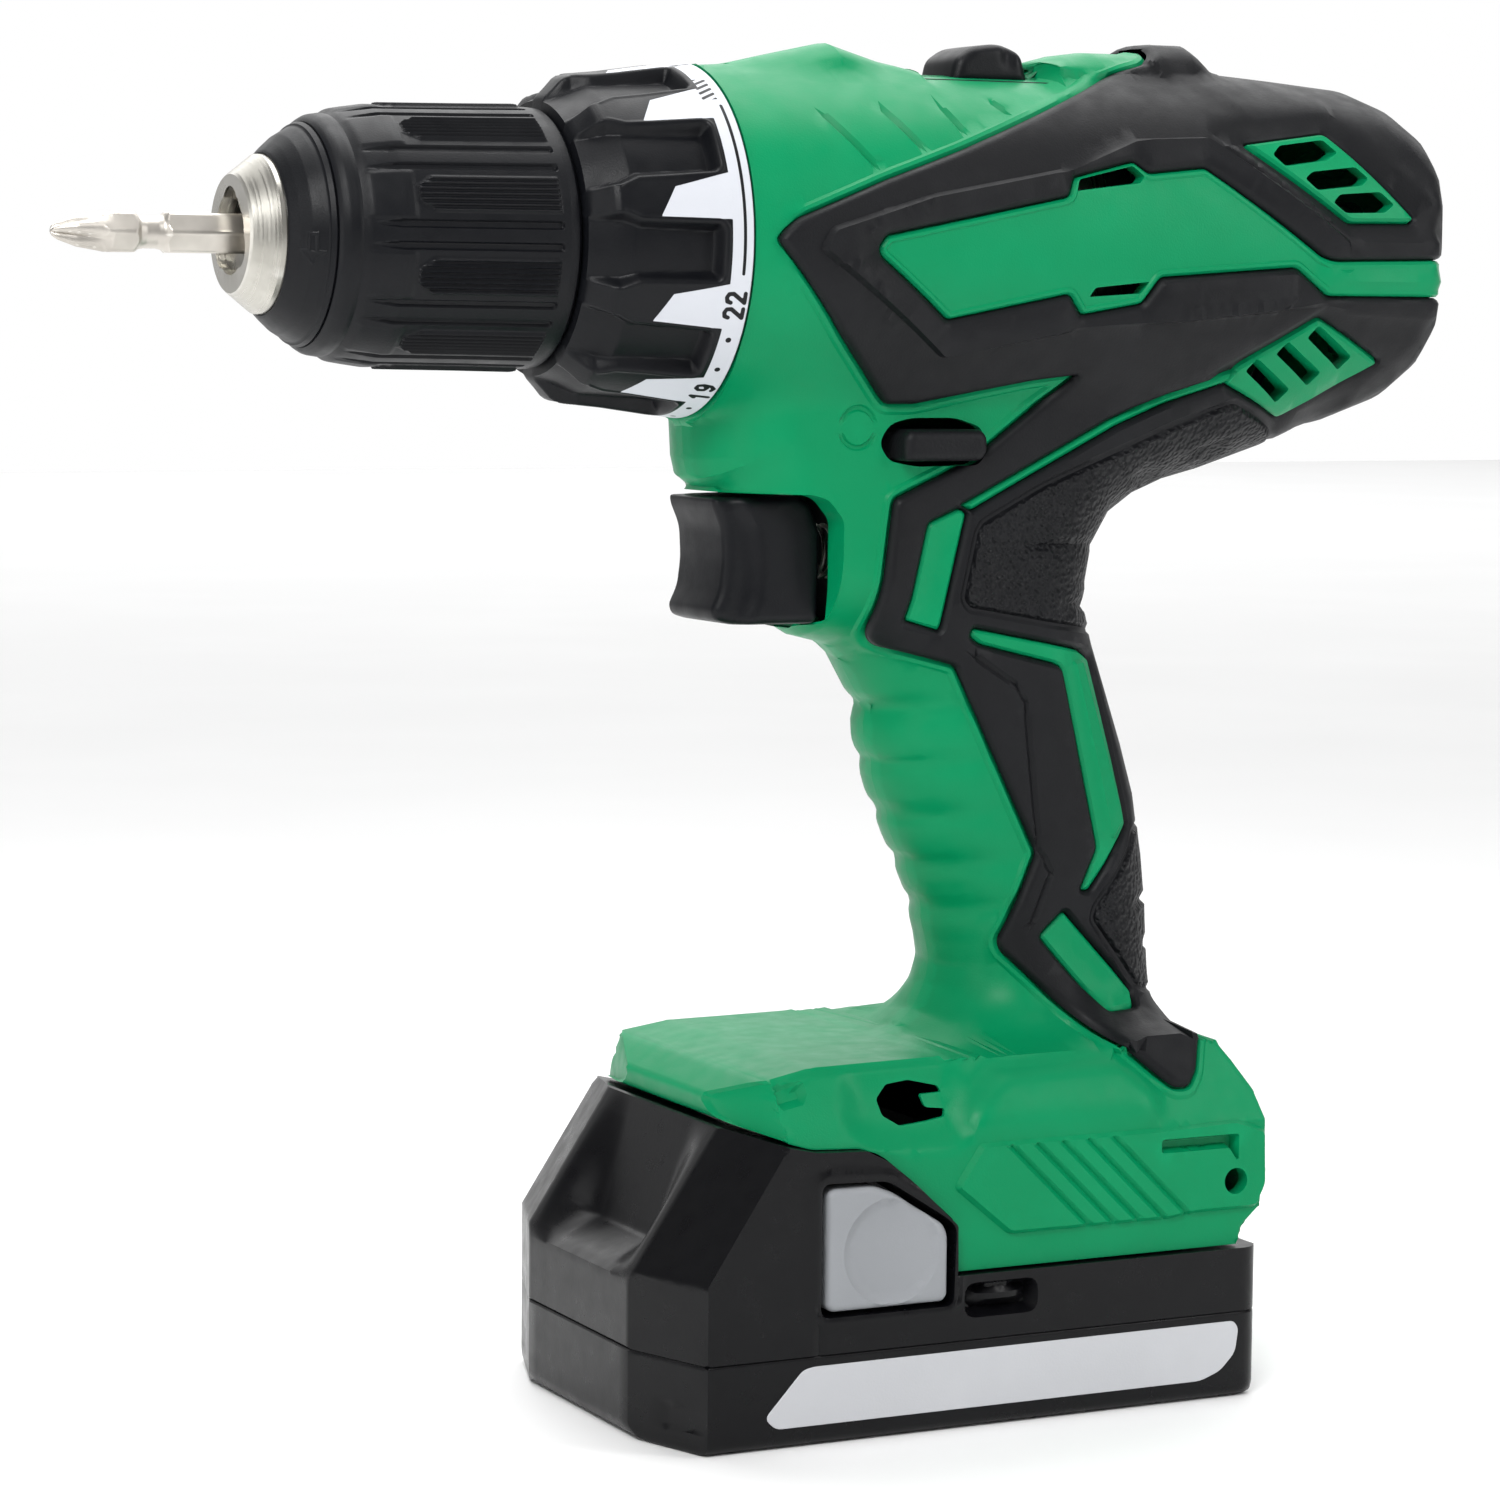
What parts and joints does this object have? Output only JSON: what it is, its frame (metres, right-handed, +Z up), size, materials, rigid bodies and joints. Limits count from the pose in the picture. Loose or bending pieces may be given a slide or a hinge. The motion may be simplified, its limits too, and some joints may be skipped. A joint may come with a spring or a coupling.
{
  "type": "cordless drill",
  "caption": "Pistol-grip cordless drill driver with keyless chuck, torque collar, two-speed gearbox, trigger, soft grip and slide-on battery; a screwdriver bit is fitted.",
  "frame": {"origin": "on the battery's flat underside, on the plane that joins the housing halves", "axes": "+Z up, -X the way the chuck points, Y across the tool"},
  "size_m": [0.2558, 0.077, 0.234],
  "materials": {
    "green_plastic": "fine grained moulded green",
    "black_rubber": "textured soft grip",
    "black_plastic": "satin moulded black",
    "steel_satin": "satin",
    "bit_steel": "blasted, bright edges",
    "alloy": "die cast",
    "scale_silver": "printed silver",
    "grey_button": "moulded grey",
    "ferrite": "sintered",
    "carbon": "pressed carbon",
    "copper": "bright copper",
    "cell_wrap": "shrink wrap",
    "board": "solder masked"
  },
  "bodies": {
    "root": {"gear_case": "alloy", "motor_plate": "alloy", "spindle_bearing": "steel_satin", "ring_gear_output": "steel_satin", "clutch_balls_and_washer": "steel_satin", "clutch_spring": "steel_satin", "housing_left": "green_plastic", "housing_right": "green_plastic", "grip_skin_left": "black_rubber", "grip_skin_right": "black_rubber", "housing_screws": "steel_satin", "motor_yoke": "steel_satin", "field_magnets": "ferrite", "brush_holder": "black_plastic", "carbon_brushes": "carbon", "motor_bearings": "steel_satin", "switch_body": "black_plastic", "terminal_block": "black_plastic", "terminal_blades": "copper", "wiring": "black_rubber", "trigger_spring": "steel_satin"},
    "output_shaft": {"output_spindle": "steel_satin", "carrier_output": "steel_satin", "chuck_body": "steel_satin", "chuck_screw": "steel_satin"},
    "sleeve": {"chuck_sleeve": "black_plastic", "chuck_front_cap": "black_plastic", "chuck_nut": "steel_satin", "chuck_thrust_balls": "steel_satin"},
    "jaw_1": {"chuck_jaw_1": "steel_satin"},
    "jaw_2": {"chuck_jaw_2": "steel_satin"},
    "jaw_3": {"chuck_jaw_3": "steel_satin"},
    "bit": {"screwdriver_bit": "bit_steel"},
    "clutch": {"clutch_ring": "black_plastic", "torque_scale_band": "scale_silver"},
    "clutch_seat": {"clutch_nut": "steel_satin"},
    "first_carrier": {"carrier_input": "steel_satin"},
    "planet_output_1": {"planet_output_1": "steel_satin"},
    "planet_output_2": {"planet_output_2": "steel_satin"},
    "planet_output_3": {"planet_output_3": "steel_satin"},
    "planet_input_1": {"planet_input_1": "steel_satin"},
    "planet_input_2": {"planet_input_2": "steel_satin"},
    "planet_input_3": {"planet_input_3": "steel_satin"},
    "rotor": {"motor_shaft": "steel_satin", "motor_pinion": "steel_satin", "cooling_fan": "black_plastic", "armature": "copper", "commutator": "copper"},
    "selector": {"speed_selector": "black_plastic", "shift_fork": "steel_satin", "ring_gear_input": "steel_satin"},
    "trigger": {"trigger": "black_plastic"},
    "lever": {"reversing_lever": "black_plastic"},
    "battery": {"battery_upper_case": "black_plastic", "battery_lower_case": "black_plastic", "battery_cells": "cell_wrap", "cell_straps": "copper", "battery_board": "board"},
    "button_left": {"battery_button_left": "grey_button"},
    "button_right": {"battery_button_right": "grey_button"}
  },
  "joints": [
    {"name": "spindle_spin", "type": "hinge", "parent": "root", "child": "output_shaft", "pos_m": [-0.05, 0, 0.1985], "axis": [1, 0, 0], "continuous": true},
    {"name": "chuck_sleeve_turn", "type": "hinge", "parent": "output_shaft", "child": "sleeve", "pos_m": [-0.08, 0, 0.1985], "axis": [1, 0, 0], "range_deg": [0, 2160]},
    {"name": "chuck_jaw_1_slide", "type": "slide", "parent": "output_shaft", "child": "jaw_1", "axis": [0.9659, 0, 0.2588], "range_m": [0, 0.0125]},
    {"name": "chuck_jaw_2_slide", "type": "slide", "parent": "output_shaft", "child": "jaw_2", "axis": [0.9659, -0.2241, -0.1294], "range_m": [0, 0.0125]},
    {"name": "chuck_jaw_3_slide", "type": "slide", "parent": "output_shaft", "child": "jaw_3", "axis": [0.9659, 0.2241, -0.1294], "range_m": [0, 0.0125]},
    {"name": "bit_pull", "type": "slide", "parent": "output_shaft", "child": "bit", "axis": [-1, 0, 0], "range_m": [0, 0.04]},
    {"name": "clutch_ring_turn", "type": "hinge", "parent": "root", "child": "clutch", "pos_m": [-0.045, 0, 0.1985], "axis": [1, 0, 0], "range_deg": [0, 315]},
    {"name": "clutch_nut_slide", "type": "slide", "parent": "root", "child": "clutch_seat", "axis": [1, 0, 0], "range_m": [0, 0.0045], "deforming": ["clutch_spring"]},
    {"name": "first_carrier_spin", "type": "hinge", "parent": "root", "child": "first_carrier", "pos_m": [-0.02, 0, 0.1985], "axis": [1, 0, 0], "continuous": true},
    {"name": "planet_output_1_spin", "type": "hinge", "parent": "output_shaft", "child": "planet_output_1", "pos_m": [-0.026, 0, 0.2093], "axis": [1, 0, 0], "continuous": true},
    {"name": "planet_output_2_spin", "type": "hinge", "parent": "output_shaft", "child": "planet_output_2", "pos_m": [-0.026, -0.00935, 0.1931], "axis": [1, 0, 0], "continuous": true},
    {"name": "planet_output_3_spin", "type": "hinge", "parent": "output_shaft", "child": "planet_output_3", "pos_m": [-0.026, 0.00935, 0.1931], "axis": [1, 0, 0], "continuous": true},
    {"name": "planet_input_1_spin", "type": "hinge", "parent": "first_carrier", "child": "planet_input_1", "pos_m": [-0.013, 0, 0.2093], "axis": [1, 0, 0], "continuous": true},
    {"name": "planet_input_2_spin", "type": "hinge", "parent": "first_carrier", "child": "planet_input_2", "pos_m": [-0.013, -0.00935, 0.1931], "axis": [1, 0, 0], "continuous": true},
    {"name": "planet_input_3_spin", "type": "hinge", "parent": "first_carrier", "child": "planet_input_3", "pos_m": [-0.013, 0.00935, 0.1931], "axis": [1, 0, 0], "continuous": true},
    {"name": "motor_spin", "type": "hinge", "parent": "root", "child": "rotor", "pos_m": [0.04, 0, 0.1985], "axis": [1, 0, 0], "continuous": true},
    {"name": "speed_selector_slide", "type": "slide", "parent": "root", "child": "selector", "axis": [-1, 0, 0], "range_m": [0, 0.005]},
    {"name": "trigger_pull", "type": "slide", "parent": "root", "child": "trigger", "axis": [1, 0, 0], "range_m": [0, 0.006], "stiffness_N_per_m": 900, "springref_m": -0.004, "deforming": ["trigger_spring"]},
    {"name": "reversing_lever_slide", "type": "slide", "parent": "root", "child": "lever", "axis": [0, 1, 0], "range_m": [-0.0025, 0.0025]},
    {"name": "battery_slide", "type": "slide", "parent": "root", "child": "battery", "axis": [-1, 0, 0], "range_m": [0, 0.075]},
    {"name": "battery_button_left_press", "type": "slide", "parent": "battery", "child": "button_left", "axis": [0, 1, 0], "range_m": [0, 0.003], "stiffness_N_per_m": 800, "springref_m": -0.003},
    {"name": "battery_button_right_press", "type": "slide", "parent": "battery", "child": "button_right", "axis": [0, -1, 0], "range_m": [0, 0.003], "stiffness_N_per_m": 800, "springref_m": -0.003}
  ],
  "couplings": [
    {"joint": "chuck_jaw_1_slide", "follows": "chuck_sleeve_turn", "m_per_rad": 0.00033124},
    {"joint": "chuck_jaw_2_slide", "follows": "chuck_sleeve_turn", "m_per_rad": 0.00033124},
    {"joint": "chuck_jaw_3_slide", "follows": "chuck_sleeve_turn", "m_per_rad": 0.00033124},
    {"joint": "clutch_nut_slide", "follows": "clutch_ring_turn", "m_per_rad": 0.00081769},
    {"joint": "first_carrier_spin", "follows": "spindle_spin", "ratio": 4},
    {"joint": "planet_output_1_spin", "follows": "spindle_spin", "ratio": -3},
    {"joint": "planet_output_2_spin", "follows": "spindle_spin", "ratio": -3},
    {"joint": "planet_output_3_spin", "follows": "spindle_spin", "ratio": -3},
    {"joint": "planet_input_1_spin", "follows": "spindle_spin", "ratio": -11.2},
    {"joint": "planet_input_2_spin", "follows": "spindle_spin", "ratio": -11.2},
    {"joint": "planet_input_3_spin", "follows": "spindle_spin", "ratio": -11.2},
    {"joint": "motor_spin", "follows": "spindle_spin", "ratio": 18}
  ]
}
